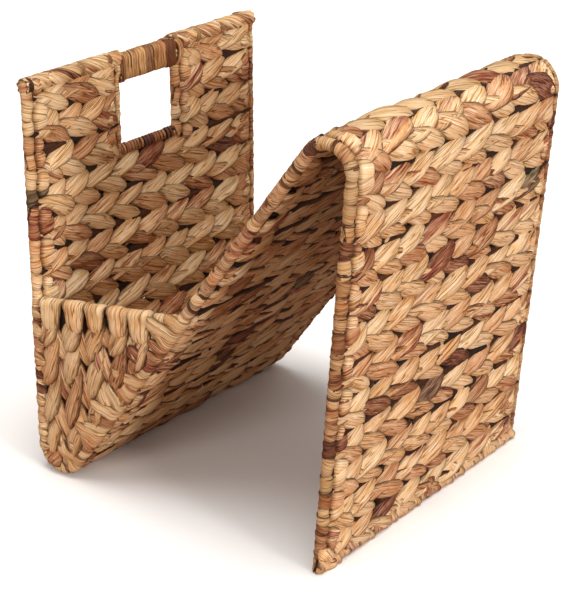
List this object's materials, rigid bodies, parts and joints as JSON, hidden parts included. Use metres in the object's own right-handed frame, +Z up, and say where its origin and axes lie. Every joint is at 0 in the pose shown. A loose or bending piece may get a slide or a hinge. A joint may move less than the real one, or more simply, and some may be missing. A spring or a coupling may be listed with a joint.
{
  "type": "magazine basket",
  "caption": "Floor magazine rack of twined water hyacinth on a bent rod frame, N-shaped from the side, with a pocket closed at both ends and a hand hole.",
  "frame": {"origin": "on the floor, under the middle of the whole basket", "axes": "+X runs from the upright back to the leg, +Y across the width, away from the side that the picture shows, and +Z is up"},
  "size_m": [0.3976, 0.353, 0.426],
  "materials": {
    "hyacinth": "dry twined plant stalks, satin, from straw to red-brown",
    "raffia": "fine plant strands wound on the slant, satin",
    "twine": "thin red-brown twine, matt",
    "handle_padding": "bundle of plain dry stalks, hidden under the windings",
    "frame_steel": "dark lacquered rod, hidden in the weave"
  },
  "bodies": {
    "root": {"near_side_rod": "frame_steel", "near_rim_rod": "frame_steel", "far_side_rod": "frame_steel", "far_rim_rod": "frame_steel", "top_rod": "frame_steel", "foot_rod": "frame_steel", "sill_rod": "frame_steel", "near_outer_stake": "frame_steel", "near_upright_stake": "frame_steel", "middle_stake": "frame_steel", "far_upright_stake": "frame_steel", "far_outer_stake": "frame_steel", "weave_band_01_near": "hyacinth", "weave_band_01_far": "hyacinth", "weave_band_02_near": "hyacinth", "weave_band_02_far": "hyacinth", "weave_band_03_near": "hyacinth", "weave_band_03_far": "hyacinth", "weave_band_04": "hyacinth", "weave_band_05": "hyacinth", "weave_band_06": "hyacinth", "weave_band_07": "hyacinth", "weave_band_08": "hyacinth", "weave_band_09": "hyacinth", "weave_band_10": "hyacinth", "weave_band_11": "hyacinth", "weave_band_12": "hyacinth", "weave_band_13": "hyacinth", "weave_band_14": "hyacinth", "weave_band_15": "hyacinth", "weave_band_16": "hyacinth", "weave_band_17": "hyacinth", "weave_band_18": "hyacinth", "weave_band_19": "hyacinth", "weave_band_20": "hyacinth", "weave_band_21": "hyacinth", "weave_band_22": "hyacinth", "weave_band_23": "hyacinth", "weave_band_24": "hyacinth", "weave_band_25": "hyacinth", "weave_band_26": "hyacinth", "weave_band_27": "hyacinth", "weave_band_28": "hyacinth", "weave_band_29": "hyacinth", "weave_band_30": "hyacinth", "weave_band_31": "hyacinth", "weave_band_32": "hyacinth", "weave_band_33": "hyacinth", "weave_band_34": "hyacinth", "weave_band_35": "hyacinth", "weave_band_36": "hyacinth", "weave_band_37": "hyacinth", "weave_band_38": "hyacinth", "weave_band_39": "hyacinth", "near_gusset": "hyacinth", "far_gusset": "hyacinth", "handle_bar": "handle_padding", "handle_wrap": "raffia", "sill_wrap": "twine"}
  },
  "joints": []
}
